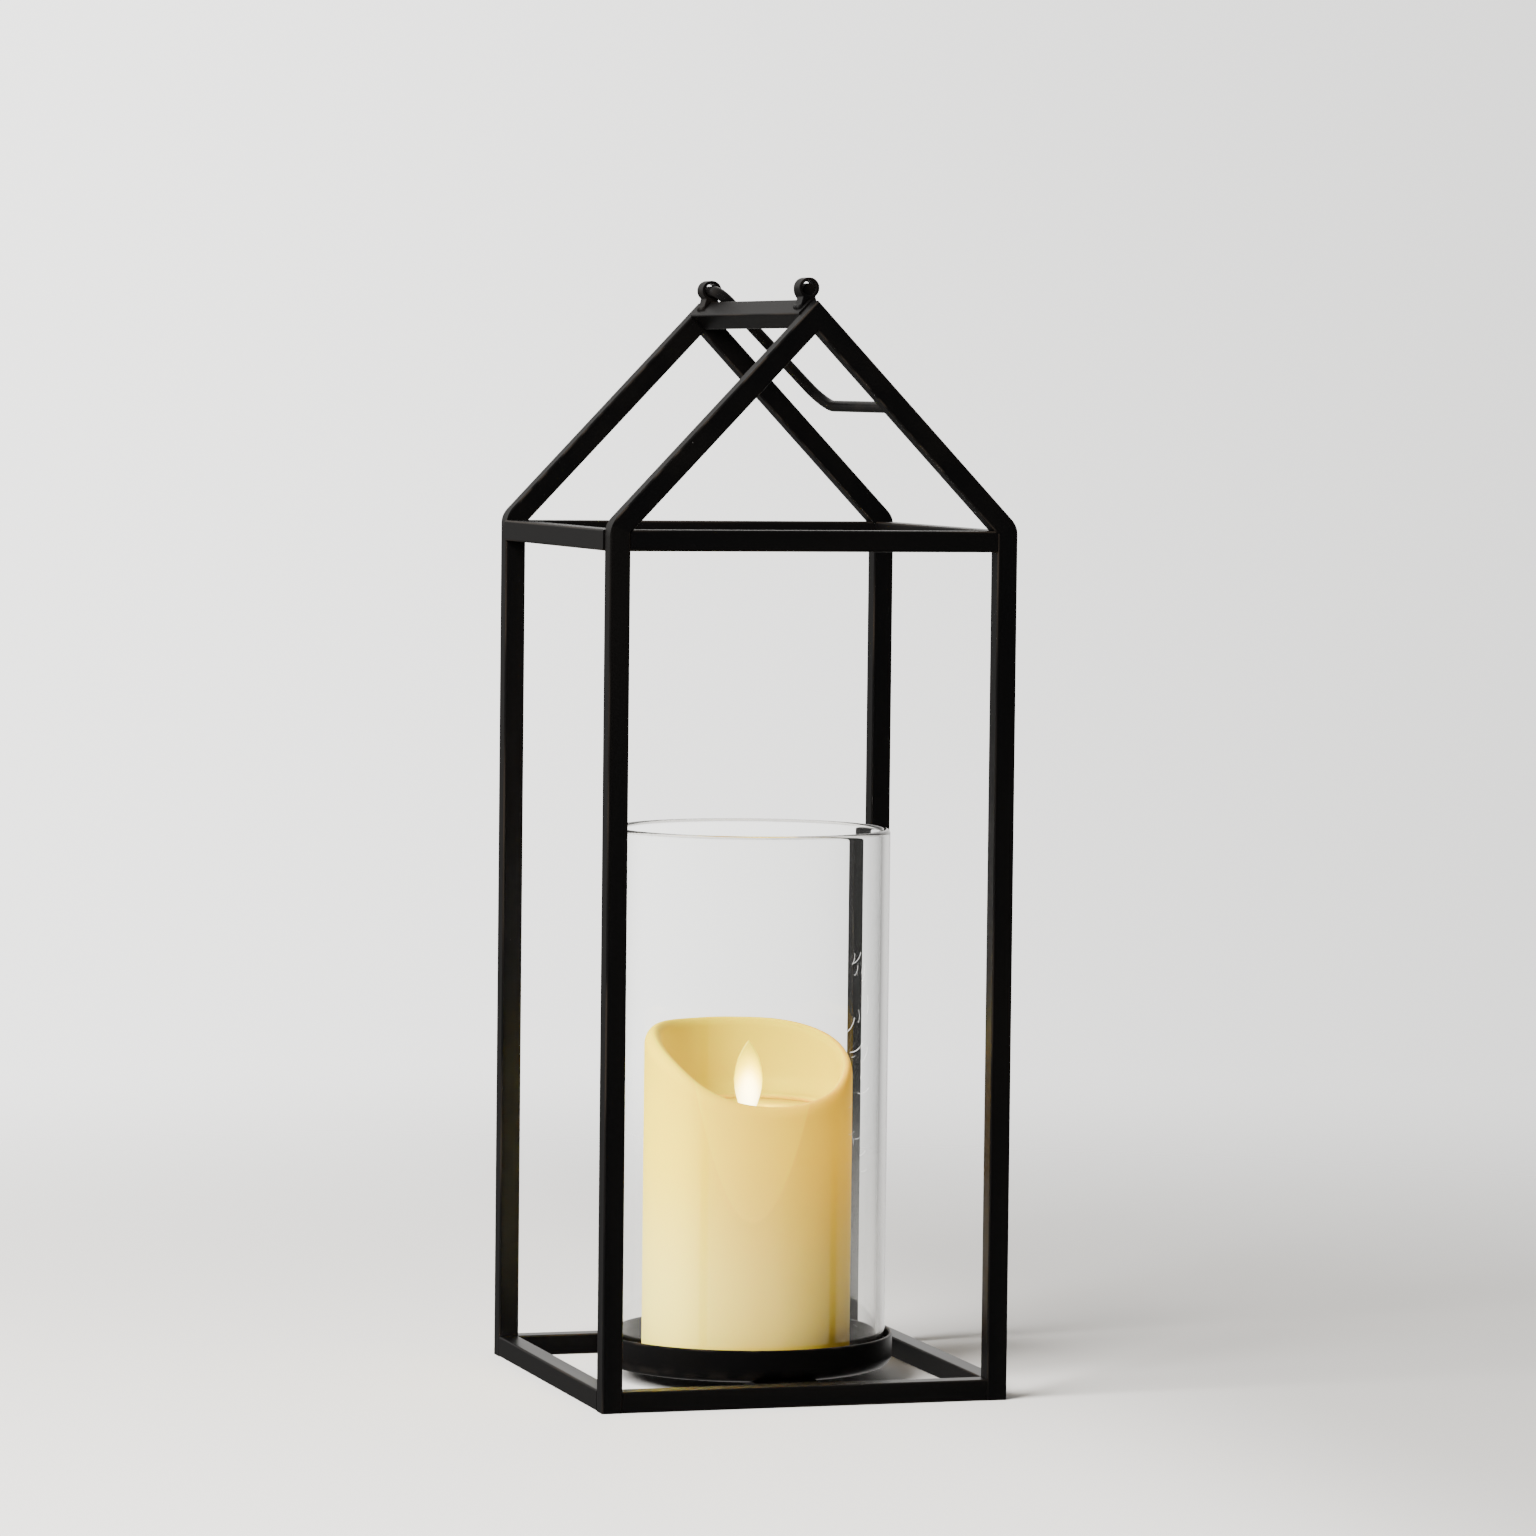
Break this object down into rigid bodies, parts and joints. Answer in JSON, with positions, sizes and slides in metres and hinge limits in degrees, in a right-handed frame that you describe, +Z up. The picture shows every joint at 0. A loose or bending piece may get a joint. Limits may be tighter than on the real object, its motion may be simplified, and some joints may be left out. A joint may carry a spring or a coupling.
{
  "type": "candle lantern",
  "caption": "House-shaped black metal lantern with an open frame, a fold-down carrying handle, a dish with a clear glass cylinder, and a battery pillar candle with a swaying flame.",
  "frame": {"origin": "middle of the footprint at floor level", "axes": "+Z up, +X along the front of the frame to the right, -Y out of the front gable"},
  "size_m": [0.1532, 0.152, 0.4042],
  "materials": {
    "black_steel": "satin black paint, rubbed warm brown along the edges",
    "clear_glass": "clear blown cylinder, fire-polished rims",
    "ivory_wax": "soft satin wax that glows from inside",
    "ivory_plastic": "satin moulded plastic",
    "flame_plastic": "thin translucent moulding, lit from below",
    "clear_resin": "clear cast resin",
    "black_plastic": "moulded black plastic",
    "nickel_steel": "nickel plated",
    "copper_wire": "enamelled copper winding",
    "green_board": "green solder mask",
    "cell_jacket": "plain dark sleeve with a bare metal cap",
    "red_lead": "insulated wire"
  },
  "bodies": {
    "frame": {"front_left_post": "black_steel", "front_right_post": "black_steel", "back_left_post": "black_steel", "back_right_post": "black_steel", "front_left_rafter": "black_steel", "front_right_rafter": "black_steel", "back_left_rafter": "black_steel", "back_right_rafter": "black_steel", "front_base_rail": "black_steel", "back_base_rail": "black_steel", "left_base_rail": "black_steel", "right_base_rail": "black_steel", "front_eave_rail": "black_steel", "back_eave_rail": "black_steel", "left_eave_rail": "black_steel", "right_eave_rail": "black_steel", "ridge_bar": "black_steel", "front_lug": "black_steel", "back_lug": "black_steel", "dish_crossbar": "black_steel", "candle_dish": "black_steel"},
    "handle": {"carry_handle": "black_steel"},
    "glass": {"glass_cylinder": "clear_glass"},
    "candle": {"wax_shell": "ivory_wax", "inner_housing": "ivory_plastic", "pool_plate": "ivory_plastic", "flame_guide": "black_plastic", "pivot_wire": "nickel_steel", "coil_bobbin": "black_plastic", "drive_coil": "copper_wire", "flame_light": "clear_resin", "circuit_board": "green_board", "board_components": "black_plastic", "board_screws": "nickel_steel", "battery_tray": "black_plastic", "tray_contacts": "nickel_steel", "tray_spring": "nickel_steel", "left_battery": "cell_jacket", "right_battery": "cell_jacket", "base_ring": "ivory_plastic", "base_screws": "nickel_steel", "switch_body": "black_plastic", "switch_leads": "red_lead"},
    "flame": {"flame_paddle": "flame_plastic", "flame_magnet": "nickel_steel"},
    "switch": {"switch_knob": "black_plastic"},
    "cover": {"battery_cover": "ivory_plastic", "cover_contact": "nickel_steel", "cover_spring": "nickel_steel"}
  },
  "joints": [
    {"name": "handle_swing", "type": "hinge", "parent": "frame", "child": "handle", "pos_m": [0, 0, 0.39995], "axis": [0, -1, 0], "range_deg": [0, 270]},
    {"name": "glass_lift", "type": "slide", "parent": "frame", "child": "glass", "axis": [0, 0, 1], "range_m": [0, 0.145]},
    {"name": "candle_lift", "type": "slide", "parent": "frame", "child": "candle", "axis": [0, 0, 1], "range_m": [0, 0.2]},
    {"name": "flame_sway", "type": "hinge", "parent": "candle", "child": "flame", "pos_m": [0, 0, 0.0935], "axis": [0, 1, 0], "range_deg": [-10, 10]},
    {"name": "switch_slide", "type": "slide", "parent": "candle", "child": "switch", "axis": [1, 0, 0], "range_m": [-0.002, 0.002]},
    {"name": "cover_twist", "type": "hinge", "parent": "candle", "child": "cover", "pos_m": [0, 0, 0.008], "axis": [0, 0, -1], "range_deg": [0, 25]}
  ]
}
